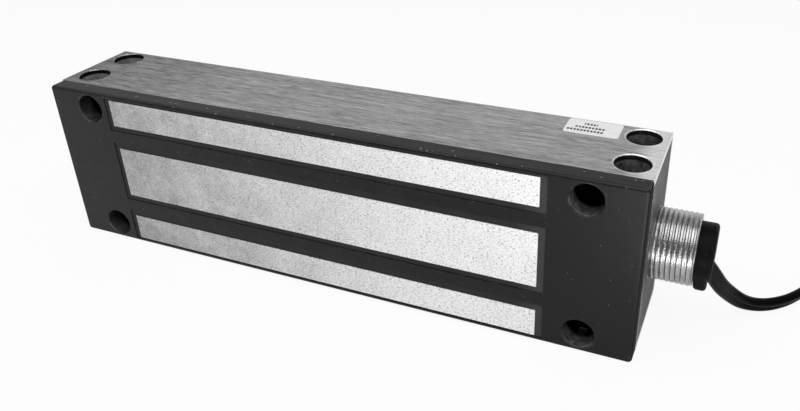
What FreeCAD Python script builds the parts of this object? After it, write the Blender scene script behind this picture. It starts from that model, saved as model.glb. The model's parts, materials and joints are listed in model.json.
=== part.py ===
import FreeCAD, Part
import math
import os

# Electromagnetic gate lock, lying on its lower long side.
# +X points to the end with the conduit nipple, -Y to the pole faces and +Z up.
# The origin is the centre of the body's footprint. Lengths are in millimetres.

# Body
body_length = 254.0
body_depth = 47.0
sheet_thickness = 2.0
bend_radius = 2.5
hole_rim_chamfer = 0.4

# Black front frame
frame_depth = 7.0
frame_seam_chamfer = 0.4
frame_edge_radius = 1.2
frame_corner_radius = 1.5
window_margin = 2.6
window_outer_margin = 0.7
window_corner_radius = 0.8
resin_set_back = 0.3

# Laminated core: two outer legs, a centre leg and the back iron
outer_leg = 11.6
winding_gap = 10.65
centre_leg = 22.9
core_depth = 38.0
back_iron = 13.0
clamp_thickness = 2.0
core_side_clearance = 0.3
core_gap_left = 0.3
core_gap_right = 5.1

# Rivets that hold the laminations together
rivet_radius = 2.0
rivet_clearance = 0.1
rivet_head_radius = 3.4
rivet_crown_radius = 2.0
rivet_head_height = 1.6
back_rivet_spacing = 52.0
leg_rivet_setback = 13.5

# Coil on its bobbin
bobbin_wall = 1.2
bobbin_clearance = 0.2
bobbin_corner_radius = 1.5
bobbin_set_back = 0.5
tape_thickness = 0.4
winding_clearance = 0.25
coil_lead_radius = 0.9
coil_lead_spacing = 12.0

# Bolt holes: four from the front, two pairs from the upper side
bolt_hole_radius = 3.3
front_hole_end_distance = 20.2
front_hole_side_distance = 7.8
front_recess_radius = 6.0
front_recess_depth = 11.0
side_hole_end_distance = 9.0
side_hole_pitch = 21.0
side_recess_radius = 6.4
side_recess_depth = 9.0

# Mounting blocks at the two ends
block_wall = 1.5
coil_pocket_gap = 1.0
ledge_width = 4.0
board_pocket_depth = 7.0
wire_way_radius = 5.5

# Circuit board behind the nipple
board_thickness = 1.6
board_height = 39.0
board_clearance = 0.5
board_pocket_wall = 1.0
coil_to_board = 3.9
varistor_thickness = 4.5
diode_radius = 1.4
diode_length = 6.0
diode_gap = 1.4
component_gap = 0.9
component_edge = 0.8
fill_hole_radius = 2.5
fill_hole_offset = 9.0
screw_radius = 1.25
screw_length = 6.0
screw_head_radius = 2.2
screw_crown_radius = 1.5
screw_head_height = 1.4
screw_spacing = 24.0

# Conduit nipple and its gasket
nipple_radius = 13.35
nipple_wall = 2.45
nipple_reach = 15.4
nipple_chamfer = 0.9
nipple_relief_width = 1.2
nipple_relief_depth = 0.7
nipple_hole_clearance = 0.15
nipple_head_rim = 1.65
nipple_head_thickness = 2.2
nipple_head_clearance = 0.15
gasket_thickness = 0.8

# Rubber bung in the nipple
bung_clearance = 0.1
bung_depth = 12.4
bung_reach = 6.1
bung_edge_radius = 1.4
lobe_radius = 5.2
lobe_drop = 9.3
lobe_forward = 2.2
lobe_thickness = 4.8
lobe_edge_radius = 1.5
lobe_gap = 0.2

# Twin lead: its two conductors lie side by side, so its diameter here is its width.
# Its route points are chosen by hand, from inside the bung to the wound part. Their x is
# the distance from the nipple's end.
lead_diameter = 6.4
lead_route = [
    (2.5, -2.0, 35.5),
    (9.3, 8.3, 19.6),
    (13.2, 14.2, 12.4),
    (18.7, 20.3, 6.6),
    (26.0, 25.2, 3.6),
    (33.2, 30.2, 3.2),
    (38.8, 37.2, 3.2),
    (43.4, 45.4, 3.3),
    (50.2, 51.8, 3.7),
    (59.0, 54.9, 4.0),
    (68.5, 54.9, 4.0),
]
lead_run_share = 0.45

# Wound part of the lead, with the lead on edge, its tie and its bared ends
lead_thickness = 3.6
coil_gap = 0.2
coil_mid_radius = 34.6
coil_turns = 2
coil_bevel = 1.2
tail_length = 12.0
tail_turn = 50.0
tie_width = 4.0
tie_thickness = 0.7
tie_clearance = 0.1
tie_angle = -60.0
bare_wire_radius = 0.9
bare_wire_length = 9.0

# Sticker on the upper side
label_length = 20.4
label_width = 12.0
label_thickness = 0.15
label_corner_radius = 1.2
label_end_margin = 17.6
label_back_margin = 2.6

# Places worked out from the sizes above
centre_half = centre_leg / 2
gap_half = centre_half + winding_gap
core_half = gap_half + outer_leg
body_height = 2 * (core_half + core_side_clearance + sheet_thickness)
half_length = body_length / 2
mid_z = body_height / 2
front_y = -body_depth / 2
back_y = body_depth / 2
seam_y = front_y + frame_depth
inner_y = back_y - sheet_thickness
metal_mid_y = (seam_y + back_y) / 2
inner_bend = max(bend_radius - sheet_thickness, 0.0)
inner_end_x = half_length - sheet_thickness

front_hole_x = half_length - front_hole_end_distance
front_hole_z = [front_hole_side_distance, body_height - front_hole_side_distance]
side_hole_x = half_length - side_hole_end_distance
side_hole_y = [metal_mid_y - side_hole_pitch / 2, metal_mid_y + side_hole_pitch / 2]
front_recess_y = front_y + front_recess_depth
side_recess_z = body_height - side_recess_depth
block_face_x = front_hole_x - front_recess_radius - block_wall

pole_x0 = -block_face_x + core_gap_left + rivet_head_height + clamp_thickness
pole_x1 = block_face_x - core_gap_right - rivet_head_height - clamp_thickness
core_back_y = front_y + core_depth
window_floor_y = core_back_y - back_iron

bobbin_front_y = seam_y + bobbin_set_back
bobbin_inner = bobbin_clearance
winding_inner = bobbin_inner + bobbin_wall
tape_outer = winding_gap - winding_clearance
winding_outer = tape_outer - tape_thickness
coil_end_right = pole_x1 + tape_outer
board_x = coil_end_right + coil_to_board
ledge_x = board_x + board_thickness
board_pocket_x = ledge_x + board_pocket_depth
board_width = 2 * (inner_y - board_pocket_wall - board_clearance - metal_mid_y)
head_x1 = inner_end_x - gasket_thickness
head_x0 = head_x1 - nipple_head_thickness
nipple_bore_radius = nipple_radius - nipple_wall
nipple_head_flats = 2 * (nipple_radius + nipple_head_rim)
nipple_end_x = half_length + nipple_reach
bung_inner_x = nipple_end_x - bung_depth
bung_face_x = nipple_end_x + bung_reach
bung_radius = nipple_bore_radius - bung_clearance
lead_radius = lead_diameter / 2


def vec(x, y, z):
    return FreeCAD.Vector(x, y, z)


def at_x(x):
    """Places a profile drawn in Y and Z on the plane of this x."""
    return lambda a, b: vec(x, a, b)


def at_y(y):
    """Places a profile drawn in X and Z on the plane of this y."""
    return lambda a, b: vec(a, y, b)


def at_z(z):
    """Places a profile drawn in X and Y on the plane of this z."""
    return lambda a, b: vec(a, b, z)


def box(x0, x1, y0, y1, z0, z1):
    return Part.makeBox(x1 - x0, y1 - y0, z1 - z0, vec(x0, y0, z0))


def rod(radius, start, end):
    return Part.makeCylinder(radius, (end - start).Length, start, end - start)


def rectangle(a0, a1, b0, b1, radius=0.0):
    """Corners of a rectangle, each with its rounding radius."""
    return [(a0, b0, radius), (a1, b0, radius), (a1, b1, radius), (a0, b1, radius)]


def grown(corners, margin, radius):
    """A rectangle moved out by the margin on all sides."""
    a = [c[0] for c in corners]
    b = [c[1] for c in corners]
    return rectangle(min(a) - margin, max(a) + margin, min(b) - margin, max(b) + margin, radius)


def outline(corners, place):
    """Face inside a polygon whose corners are rounded with tangent arcs."""
    stations = []
    count = len(corners)
    for i in range(count):
        a, b, radius = corners[i]
        here = place(a, b)
        if radius <= 0:
            stations.append((here, here, here))
            continue
        before = place(corners[i - 1][0], corners[i - 1][1])
        after = place(corners[(i + 1) % count][0], corners[(i + 1) % count][1])
        back = (before - here).normalize()
        ahead = (after - here).normalize()
        half = back.getAngle(ahead) / 2
        reach = radius / math.tan(half)
        inward = (back + ahead).normalize()
        middle = here + inward * (radius / math.sin(half) - radius)
        stations.append((here + back * reach, middle, here + ahead * reach))
    edges = []
    for i in range(count):
        start, middle, end = stations[i]
        if (end - start).Length > 1e-6:
            edges.append(Part.Arc(start, middle, end).toShape())
        following = stations[(i + 1) % count][0]
        if (following - end).Length > 1e-6:
            edges.append(Part.LineSegment(end, following).toShape())
    return Part.Face(Part.Wire(edges))


def x_slab(corners, x0, x1):
    return outline(corners, at_x(x0)).extrude(vec(x1 - x0, 0, 0))


def y_slab(corners, y0, y1):
    return outline(corners, at_y(y0)).extrude(vec(0, y1 - y0, 0))


def z_slab(corners, z0, z1):
    return outline(corners, at_z(z0)).extrude(vec(0, 0, z1 - z0))


def joined(shapes):
    first = shapes[0]
    if len(shapes) == 1:
        return first
    return first.multiFuse(shapes[1:]).removeSplitter()


def rounded_edges(shape, radius, chosen):
    """Fillets the edges whose vertices all pass the test."""
    edges = [e for e in shape.Edges if all(chosen(v.Point) for v in e.Vertexes)]
    return shape.makeFillet(radius, edges)


def near(a, b):
    return abs(a - b) < 1e-4


def turned(points, start, direction):
    """Solid of revolution from points given as distance along the axis and radius."""
    turn = FreeCAD.Rotation(vec(1, 0, 0), direction)
    path = [start + turn.multVec(vec(along, radius, 0)) for along, radius in points]
    wire = Part.makePolygon(path + [path[0]])
    return Part.Face(wire).revolve(start, direction, 360)


def flared_hole(radius, start, end):
    """A bore with its rim chamfered at the start, longer than the wall at both ends."""
    direction = (end - start).normalize()
    outside = start - direction
    bore = rod(radius, outside, end)
    rim = turned(
        [
            (-0.1, 0.0),
            (-0.1, radius + hole_rim_chamfer + 0.1),
            (hole_rim_chamfer, radius),
            (hole_rim_chamfer, 0.0),
        ],
        start,
        direction,
    )
    return bore.fuse(rim)


# Bolt holes, as the tools that cut them


def front_bores():
    tools = []
    for side in (-1, 1):
        for z in front_hole_z:
            mouth = vec(side * front_hole_x, front_y, z)
            floor = vec(side * front_hole_x, front_recess_y, z)
            tools.append(flared_hole(front_recess_radius, mouth, floor))
            tools.append(rod(bolt_hole_radius, mouth, vec(side * front_hole_x, back_y + 1, z)))
    return tools


def side_bores():
    tools = []
    for side in (-1, 1):
        for y in side_hole_y:
            mouth = vec(side * side_hole_x, y, body_height)
            floor = vec(side * side_hole_x, y, side_recess_z)
            tools.append(flared_hole(side_recess_radius, mouth, floor))
            tools.append(rod(bolt_hole_radius, mouth, vec(side * side_hole_x, y, -1)))
    return tools


def bores():
    return front_bores() + side_bores()


# Housing


def inside_section(y0):
    """Section of the space inside the folded channel, from y0 to its back wall."""
    top = body_height - sheet_thickness
    return [
        (y0, sheet_thickness, 0.0),
        (inner_y, sheet_thickness, inner_bend),
        (inner_y, top, inner_bend),
        (y0, top, 0.0),
    ]


def housing_channel():
    section = [
        (seam_y, 0.0, 0.0),
        (back_y, 0.0, bend_radius),
        (back_y, body_height, bend_radius),
        (seam_y, body_height, 0.0),
        (seam_y, body_height - sheet_thickness, 0.0),
        (inner_y, body_height - sheet_thickness, inner_bend),
        (inner_y, sheet_thickness, inner_bend),
        (seam_y, sheet_thickness, 0.0),
    ]
    return x_slab(section, -half_length, half_length).cut(bores())


def end_plate(side):
    plate = x_slab(inside_section(seam_y), side * inner_end_x, side * half_length)
    if side > 0:
        hole = nipple_radius + nipple_hole_clearance
        plate = plate.cut(rod(hole, nipple_axis(inner_end_x - 1), nipple_axis(half_length + 1)))
    return plate


def nipple_axis(x):
    return vec(x, metal_mid_y, mid_z)


# Front frame


def front_windows(y0, y1):
    """The window round each pole face, from the lowest up."""
    x0 = pole_x0 - window_margin
    x1 = pole_x1 + window_margin
    rises = [
        (-core_half - window_outer_margin, -gap_half + window_margin),
        (-centre_half - window_margin, centre_half + window_margin),
        (gap_half - window_margin, core_half + window_outer_margin),
    ]
    windows = []
    for low, high in rises:
        corners = rectangle(x0, x1, mid_z + low, mid_z + high, window_corner_radius)
        windows.append(y_slab(corners, y0, y1))
    return windows


def front_frame():
    """Moulded frame, flush with the channel, with a fine groove where the two meet."""
    corners = rectangle(-half_length, half_length, 0.0, body_height, frame_corner_radius)
    frame = y_slab(corners, front_y, seam_y)
    frame = rounded_edges(frame, frame_edge_radius, lambda p: near(p.y, front_y))
    seam = [e for e in frame.Edges if all(near(v.Point.y, seam_y) for v in e.Vertexes)]
    frame = frame.makeChamfer(frame_seam_chamfer, seam)
    return frame.cut(front_windows(front_y - 1, seam_y + 1)).cut(front_bores())


# Mounting blocks


def coil_pocket():
    """Room for the coil and its two end turns, rounded as they are."""
    reach = tape_outer + coil_pocket_gap
    return round_leg(reach, reach, seam_y, window_floor_y + coil_pocket_gap)


def board_pocket():
    """Pocket that holds the board, with a ledge behind the board and room for its components."""
    half_y = board_width / 2 + board_clearance
    half_z = board_height / 2 + board_clearance
    wide = rectangle(
        metal_mid_y - half_y, metal_mid_y + half_y, mid_z - half_z, mid_z + half_z, component_edge
    )
    narrow = grown(wide, -ledge_width, component_edge)
    return joined([x_slab(wide, block_face_x, ledge_x), x_slab(narrow, ledge_x, board_pocket_x)])


def wire_way():
    return rod(wire_way_radius, nipple_axis(board_pocket_x), nipple_axis(head_x0))


def hexagon(flats):
    corner = flats / 2 / math.cos(math.pi / 6)
    corners = []
    for i in range(6):
        angle = math.pi / 3 * i
        corners.append(
            (metal_mid_y + corner * math.cos(angle), mid_z + corner * math.sin(angle), 0.0)
        )
    return corners


def mounting_block(side):
    block = x_slab(inside_section(seam_y), side * block_face_x, side * inner_end_x)
    block = block.cut([coil_pocket()] + bores())
    if side < 0:
        return block
    seat = x_slab(
        hexagon(nipple_head_flats + 2 * nipple_head_clearance), head_x0, inner_end_x
    )
    screws = [rod(screw_radius, start, end) for start, end in screw_lines()]
    return block.cut([board_pocket(), wire_way(), seat] + screws)


# Core


def e_core():
    low = mid_z - core_half
    high = mid_z + core_half
    section = [
        (core_back_y, low, 0.0),
        (core_back_y, high, 0.0),
        (front_y, high, 0.0),
        (front_y, mid_z + gap_half, 0.0),
        (window_floor_y, mid_z + gap_half, 0.0),
        (window_floor_y, mid_z + centre_half, 0.0),
        (front_y, mid_z + centre_half, 0.0),
        (front_y, mid_z - centre_half, 0.0),
        (window_floor_y, mid_z - centre_half, 0.0),
        (window_floor_y, mid_z - gap_half, 0.0),
        (front_y, mid_z - gap_half, 0.0),
        (front_y, low, 0.0),
    ]
    return x_slab(section, pole_x0, pole_x1).cut(rivet_holes())


def core_clamp(side):
    """Bar across the back iron at one end of the stack."""
    if side < 0:
        x0, x1 = pole_x0 - clamp_thickness, pole_x0
    else:
        x0, x1 = pole_x1, pole_x1 + clamp_thickness
    bar = box(x0, x1, window_floor_y, core_back_y, mid_z - core_half, mid_z + core_half)
    return bar.cut(rivet_holes())


def rivet_lines():
    """Ends of each rivet's shank: two through the clamp bars, two through the outer legs."""
    back_y_line = core_back_y - back_iron / 2
    leg_y_line = front_y + leg_rivet_setback
    leg_middle = core_half - outer_leg / 2
    lines = []
    for side in (-1, 1):
        z = mid_z + side * back_rivet_spacing / 2
        start = vec(pole_x0 - clamp_thickness, back_y_line, z)
        lines.append((start, vec(pole_x1 + clamp_thickness, back_y_line, z)))
        z = mid_z + side * leg_middle
        lines.append((vec(pole_x0, leg_y_line, z), vec(pole_x1, leg_y_line, z)))
    return lines


def rivet_holes():
    return [rod(rivet_radius + rivet_clearance, start, end) for start, end in rivet_lines()]


def core_rivets():
    rivets = []
    for start, end in rivet_lines():
        length = (end - start).Length
        profile = [
            (-rivet_head_height, 0.0),
            (-rivet_head_height, rivet_crown_radius),
            (-rivet_head_height / 2, rivet_head_radius),
            (0.0, rivet_head_radius),
            (0.0, rivet_radius),
            (length, rivet_radius),
            (length, rivet_head_radius),
            (length + rivet_head_height / 2, rivet_head_radius),
            (length + rivet_head_height, rivet_crown_radius),
            (length + rivet_head_height, 0.0),
        ]
        rivets.append(turned(profile, start, vec(1, 0, 0)))
    return Part.makeCompound(rivets)


# Coil


def round_leg(margin, radius, y0, y1):
    """Slab round the centre leg, larger than the leg by the margin on all sides."""
    leg = rectangle(pole_x0, pole_x1, mid_z - centre_half, mid_z + centre_half)
    return y_slab(grown(leg, margin, radius), y0, y1)


def coil_bobbin():
    outer_radius = bobbin_corner_radius + tape_outer - winding_inner
    tube = round_leg(winding_inner, bobbin_corner_radius, bobbin_front_y, window_floor_y)
    front = round_leg(tape_outer, outer_radius, bobbin_front_y, bobbin_front_y + bobbin_wall)
    back = round_leg(tape_outer, outer_radius, window_floor_y - bobbin_wall, window_floor_y)
    opening = round_leg(bobbin_inner, 0.0, seam_y - 1, window_floor_y + 1)
    return joined([tube, front, back]).cut(opening)


def coil_winding():
    y0 = bobbin_front_y + bobbin_wall
    y1 = window_floor_y - bobbin_wall
    outer_radius = bobbin_corner_radius + winding_outer - winding_inner
    outer = round_leg(winding_outer, outer_radius, y0, y1)
    return outer.cut(round_leg(winding_inner, bobbin_corner_radius, y0 - 1, y1 + 1))


def coil_tape():
    y0 = bobbin_front_y + bobbin_wall
    y1 = window_floor_y - bobbin_wall
    outer = round_leg(tape_outer, bobbin_corner_radius + tape_outer - winding_inner, y0, y1)
    inner_radius = bobbin_corner_radius + winding_outer - winding_inner
    return outer.cut(round_leg(winding_outer, inner_radius, y0 - 1, y1 + 1))


def coil_leads():
    y = (seam_y + window_floor_y) / 2
    leads = []
    for side in (-1, 1):
        z = mid_z + side * coil_lead_spacing / 2
        leads.append(rod(coil_lead_radius, vec(coil_end_right, y, z), vec(board_x, y, z)))
    return Part.makeCompound(leads)


# Circuit board


def screw_lines():
    """Shank of each board screw, from the board's near face into the block."""
    y = metal_mid_y - board_width / 2 + ledge_width / 2
    lines = []
    for side in (-1, 1):
        z = mid_z + side * screw_spacing / 2
        lines.append((vec(board_x, y, z), vec(ledge_x + screw_length, y, z)))
    return lines


def circuit_board():
    corners = rectangle(
        metal_mid_y - board_width / 2,
        metal_mid_y + board_width / 2,
        mid_z - board_height / 2,
        mid_z + board_height / 2,
        component_edge,
    )
    board = x_slab(corners, board_x, ledge_x)
    y = metal_mid_y + fill_hole_offset
    z = mid_z - fill_hole_offset
    fill_hole = rod(fill_hole_radius, vec(board_x - 1, y, z), vec(ledge_x + 1, y, z))
    return board.cut([fill_hole] + [rod(screw_radius, start, end) for start, end in screw_lines()])


def varistor():
    """Disc on the board, as large as fits between the lead and the pocket's wall."""
    low = lead_radius + component_gap
    high = board_height / 2 + board_clearance - ledge_width - component_gap
    radius = (high - low) / 2
    z = mid_z + low + radius
    profile = [
        (0.0, 0.0),
        (0.0, radius - component_edge),
        (component_edge, radius),
        (varistor_thickness - component_edge, radius),
        (varistor_thickness, radius - component_edge),
        (varistor_thickness, 0.0),
    ]
    return turned(profile, vec(ledge_x, metal_mid_y, z), vec(1, 0, 0))


def suppression_diodes():
    diodes = []
    for row in (1, 2):
        z = mid_z - lead_radius - row * (2 * diode_radius + diode_gap)
        y0 = metal_mid_y - diode_length / 2
        x = ledge_x + diode_radius
        diodes.append(rod(diode_radius, vec(x, y0, z), vec(x, y0 + diode_length, z)))
    return Part.makeCompound(diodes)


def board_screws():
    screws = []
    for start, end in screw_lines():
        length = (end - start).Length
        profile = [
            (-screw_head_height, 0.0),
            (-screw_head_height, screw_crown_radius),
            (-screw_head_height / 2, screw_head_radius),
            (0.0, screw_head_radius),
            (0.0, screw_radius),
            (length, screw_radius),
            (length, 0.0),
        ]
        screws.append(turned(profile, start, vec(1, 0, 0)))
    return Part.makeCompound(screws)


# Conduit nipple, gasket and bung


def conduit_nipple():
    """Turned nipple with a hexagonal head inside the end plate; its thread stands outside."""
    relief = half_length + nipple_relief_width
    thread_root = nipple_radius - nipple_relief_depth
    length = nipple_end_x - head_x0
    profile = [
        (0.0, nipple_bore_radius),
        (0.0, nipple_radius),
        (half_length - head_x0, nipple_radius),
        (half_length - head_x0, thread_root),
        (relief - head_x0 - nipple_relief_depth / 2, thread_root),
        (relief - head_x0 + nipple_relief_depth / 2, nipple_radius),
        (length - nipple_chamfer, nipple_radius),
        (length, nipple_radius - nipple_chamfer),
        (length, nipple_bore_radius),
    ]
    body = turned(profile, nipple_axis(head_x0), vec(1, 0, 0))
    head = x_slab(hexagon(nipple_head_flats), head_x0, head_x1)
    head = head.cut(rod(nipple_bore_radius, nipple_axis(head_x0 - 1), nipple_axis(head_x1 + 1)))
    return joined([body, head])


def nipple_gasket():
    ring = rod(
        nipple_head_flats / 2 - nipple_head_clearance, nipple_axis(head_x1), nipple_axis(inner_end_x)
    )
    inner = nipple_radius + nipple_hole_clearance
    return ring.cut(rod(inner, nipple_axis(head_x1 - 1), nipple_axis(inner_end_x + 1)))


def egg_outline(x, centre, radius, lobe_centre, small_radius):
    """Face of a circle and a smaller one beside it, joined by their two outer tangents."""
    dy = lobe_centre[0] - centre[0]
    dz = lobe_centre[1] - centre[1]
    distance = math.hypot(dy, dz)
    heading = math.atan2(dz, dy)
    spread = math.acos((radius - small_radius) / distance)

    def on(circle, r, angle):
        return vec(x, circle[0] + r * math.cos(angle), circle[1] + r * math.sin(angle))

    left = heading + spread
    right = heading - spread
    edges = [
        Part.Arc(
            on(centre, radius, left), on(centre, radius, heading + math.pi), on(centre, radius, right)
        ).toShape(),
        Part.LineSegment(
            on(centre, radius, right), on(lobe_centre, small_radius, right)
        ).toShape(),
        Part.Arc(
            on(lobe_centre, small_radius, right),
            on(lobe_centre, small_radius, heading),
            on(lobe_centre, small_radius, left),
        ).toShape(),
        Part.LineSegment(on(lobe_centre, small_radius, left), on(centre, radius, left)).toShape(),
    ]
    return Part.Face(Part.Wire(edges))


def cable_bung():
    """Moulded bung: a plug in the nipple's bore, a lobed cap outside and a slanted hole for the lead."""
    plug = rod(bung_radius, nipple_axis(bung_inner_x), nipple_axis(bung_face_x))
    plug = rounded_edges(plug, bung_edge_radius, lambda p: near(p.x, bung_face_x))
    cap_x = nipple_end_x + lobe_gap
    cap = egg_outline(
        cap_x,
        (metal_mid_y, mid_z),
        bung_radius,
        (metal_mid_y - lobe_forward, mid_z - lobe_drop),
        lobe_radius,
    ).extrude(vec(lobe_thickness, 0, 0))
    cap = cap.makeFillet(lobe_edge_radius, [e for e in cap.Edges if not near(e.Length, lobe_thickness)])
    return joined([plug, cap]).cut(pieces["lead"])


def inner_lead():
    """The lead inside the lock, from the bung to the board."""
    return rod(lead_radius, nipple_axis(ledge_x), nipple_axis(bung_inner_x))


# Resin


def potting_resin():
    """One casting: it fills the channel, the pockets and the windows round the poles."""
    cavity = x_slab(inside_section(seam_y), -block_face_x, block_face_x)
    filled = [cavity, coil_pocket(), board_pocket(), wire_way()]
    filled += front_windows(front_y + resin_set_back, seam_y)
    solid = joined(filled)
    inner = [
        "e_core", "core_clamp_left", "core_clamp_right", "core_rivets", "coil_bobbin",
        "coil_winding", "coil_tape", "coil_leads", "circuit_board", "varistor",
        "suppression_diodes", "board_screws", "inner_lead",
    ]
    for name in inner:
        solid = solid.cut(pieces[name])
    return solid.cut(rivet_holes())


# Lead


def lead_points():
    return [vec(nipple_end_x + out, y, z) for out, y, z in lead_route]


def lead_path():
    """Wire of straight runs and tangent arcs along the route, and each arc's radius."""
    points = lead_points()
    edges = []
    radii = []
    start = points[0]
    for i in range(1, len(points) - 1):
        back = points[i - 1] - points[i]
        ahead = points[i + 1] - points[i]
        half_turn = (math.pi - back.getAngle(ahead)) / 2
        cut_back = lead_run_share * min(back.Length, ahead.Length)
        radius = cut_back / math.tan(half_turn)
        back.normalize()
        ahead.normalize()
        arc_start = points[i] + back * cut_back
        arc_end = points[i] + ahead * cut_back
        inward = (back + ahead).normalize()
        arc_middle = points[i] + inward * (radius / math.cos(half_turn) - radius)
        edges.append(Part.LineSegment(start, arc_start).toShape())
        edges.append(Part.Arc(arc_start, arc_middle, arc_end).toShape())
        start = arc_end
        radii.append(radius)
    edges.append(Part.LineSegment(start, points[-1]).toShape())
    return Part.Wire(edges), radii


def lead():
    path, radii = lead_path()
    start = lead_points()[0]
    heading = lead_points()[1] - start
    section = Part.Wire([Part.Circle(start, heading, lead_radius).toShape()])
    tube = path.makePipeShell([section], True, False)
    expected = math.pi * lead_radius**2 * path.Length
    print("lead length %.1f, volume %.1f of %.1f" % (path.Length, tube.Volume, expected))
    print("lead radii", [round(r, 1) for r in radii])
    return tube


def coil_frame():
    """Centre of the wound part and the radii of its outer and inner turns."""
    half_width = coil_turns * (lead_thickness + coil_gap) / 2
    outer_turn = coil_mid_radius + half_width
    inner_turn = coil_mid_radius - half_width
    ring_outer = outer_turn + lead_thickness / 2
    entry = math.sqrt((ring_outer + lead_radius) ** 2 - outer_turn**2)
    return lead_points()[-1] + vec(entry, -outer_turn, 0), outer_turn, inner_turn


def tail_line():
    """Start and direction of the lead's tail, which leaves the inner turn inward."""
    centre, _, inner_turn = coil_frame()
    angle = math.radians(tail_turn)
    return centre + vec(0, inner_turn, 0), vec(math.cos(angle), -math.sin(angle), 0)


def lead_coil():
    """Outer shape of the wound part: a ring with the lead's entry and its tail."""
    centre, outer_turn, inner_turn = coil_frame()
    inside = inner_turn - lead_thickness / 2
    outside = outer_turn + lead_thickness / 2
    profile = [
        (-lead_radius, inside + coil_bevel),
        (-lead_radius, outside - coil_bevel),
        (-lead_radius + coil_bevel, outside),
        (lead_radius - coil_bevel, outside),
        (lead_radius, outside - coil_bevel),
        (lead_radius, inside + coil_bevel),
        (lead_radius - coil_bevel, inside),
        (-lead_radius + coil_bevel, inside),
    ]
    ring = turned(profile, centre, vec(0, 0, 1))
    entry = rod(lead_radius, lead_points()[-1], centre + vec(0, outer_turn, 0))
    start, heading = tail_line()
    tail = rod(lead_radius, start, start + heading * tail_length)
    print("wound length %.1f" % (2 * math.pi * coil_mid_radius * coil_turns + tail_length))
    return joined([ring, entry, tail])


def lead_tie():
    """Flat tie round the wound part."""
    centre, outer_turn, inner_turn = coil_frame()
    r0 = inner_turn - lead_thickness / 2 - tie_clearance
    r1 = outer_turn + lead_thickness / 2 + tie_clearance
    z0 = centre.z - lead_radius - tie_clearance
    z1 = centre.z + lead_radius + tie_clearance
    inner = rectangle(centre.x + r0, centre.x + r1, z0, z1, coil_bevel)
    outer = grown(inner, tie_thickness, coil_bevel + tie_thickness)
    y0 = centre.y - tie_width / 2
    y1 = centre.y + tie_width / 2
    loop = y_slab(outer, y0, y1).cut(y_slab(inner, y0 - 1, y1 + 1))
    loop.rotate(centre, vec(0, 0, 1), tie_angle)
    return loop


def wire_ends():
    """Bared ends of the two conductors."""
    start, heading = tail_line()
    sideways = vec(-heading.y, heading.x, 0) * (lead_radius / 2)
    base = start + heading * tail_length
    wires = []
    for side in (-1, 1):
        root = base + sideways * side
        wires.append(rod(bare_wire_radius, root, root + heading * bare_wire_length))
    return Part.makeCompound(wires)


# Sticker


def label():
    x1 = half_length - label_end_margin
    y1 = back_y - label_back_margin
    corners = rectangle(
        x1 - label_length,
        x1,
        y1 - label_width,
        y1,
        label_corner_radius,
    )
    return z_slab(corners, body_height, body_height + label_thickness)


pieces = {}
pieces["lead"] = lead()
pieces["lead_coil"] = lead_coil()
pieces["lead_tie"] = lead_tie()
pieces["wire_ends"] = wire_ends()
pieces["housing_channel"] = housing_channel()
pieces["end_plate_left"] = end_plate(-1)
pieces["end_plate_right"] = end_plate(1)
pieces["front_frame"] = front_frame()
pieces["mounting_block_left"] = mounting_block(-1)
pieces["mounting_block_right"] = mounting_block(1)
pieces["e_core"] = e_core()
pieces["core_clamp_left"] = core_clamp(-1)
pieces["core_clamp_right"] = core_clamp(1)
pieces["core_rivets"] = core_rivets()
pieces["coil_bobbin"] = coil_bobbin()
pieces["coil_winding"] = coil_winding()
pieces["coil_tape"] = coil_tape()
pieces["coil_leads"] = coil_leads()
pieces["circuit_board"] = circuit_board()
pieces["varistor"] = varistor()
pieces["suppression_diodes"] = suppression_diodes()
pieces["board_screws"] = board_screws()
pieces["conduit_nipple"] = conduit_nipple()
pieces["nipple_gasket"] = nipple_gasket()
pieces["cable_bung"] = cable_bung()
pieces["inner_lead"] = inner_lead()
pieces["potting_resin"] = potting_resin()
pieces["label"] = label()

os.makedirs("parts", exist_ok=True)
for name, shape in pieces.items():
    shape.exportStep("parts/" + name + ".step")
    count = len(shape.Solids)
    print("%-22s solids %d valid %s volume %.0f" % (name, count, shape.isValid(), shape.Volume))
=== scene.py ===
import json
import math

import bmesh
import bpy
from mathutils import Matrix, Vector


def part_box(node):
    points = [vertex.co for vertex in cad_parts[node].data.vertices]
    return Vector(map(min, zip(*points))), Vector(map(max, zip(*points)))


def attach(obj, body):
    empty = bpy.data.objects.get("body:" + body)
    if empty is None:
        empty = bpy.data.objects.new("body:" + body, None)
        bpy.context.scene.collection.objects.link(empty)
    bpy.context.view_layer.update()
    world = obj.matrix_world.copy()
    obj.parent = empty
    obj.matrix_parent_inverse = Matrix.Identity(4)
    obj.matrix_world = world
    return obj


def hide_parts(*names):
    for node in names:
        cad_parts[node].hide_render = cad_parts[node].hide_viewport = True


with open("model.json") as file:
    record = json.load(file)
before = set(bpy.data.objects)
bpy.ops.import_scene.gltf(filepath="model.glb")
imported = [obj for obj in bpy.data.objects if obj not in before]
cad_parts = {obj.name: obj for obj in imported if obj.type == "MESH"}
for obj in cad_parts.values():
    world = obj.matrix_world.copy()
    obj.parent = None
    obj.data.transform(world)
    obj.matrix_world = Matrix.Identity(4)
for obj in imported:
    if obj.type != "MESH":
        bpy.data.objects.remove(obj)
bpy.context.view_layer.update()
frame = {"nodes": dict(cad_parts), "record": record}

MM = 0.001


# The core
# A stack of E-shaped electrical steel sheets, stood on edge side by side along the lock.
# The three legs are ground flat together in front. The bare pole faces are dull and cloudy
# at one end and freshly ground at the other, with fine short marks along the grind. Their
# colour also climbs steeply towards the ground end and a little towards the top: a painted
# highlight and painted light.


def put(tree, socket, value):
    """Gives a socket a plain value, or links another node's output to it."""
    if isinstance(value, bpy.types.NodeSocket):
        tree.links.new(value, socket)
    else:
        socket.default_value = value


def add(tree, kind, inputs=None, **settings):
    """A shader node with its settings and inputs."""
    made = tree.nodes.new("ShaderNode" + kind)
    for name, value in settings.items():
        setattr(made, name, value)
    for name, value in (inputs or {}).items():
        put(tree, made.inputs[name], value)
    return made


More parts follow.
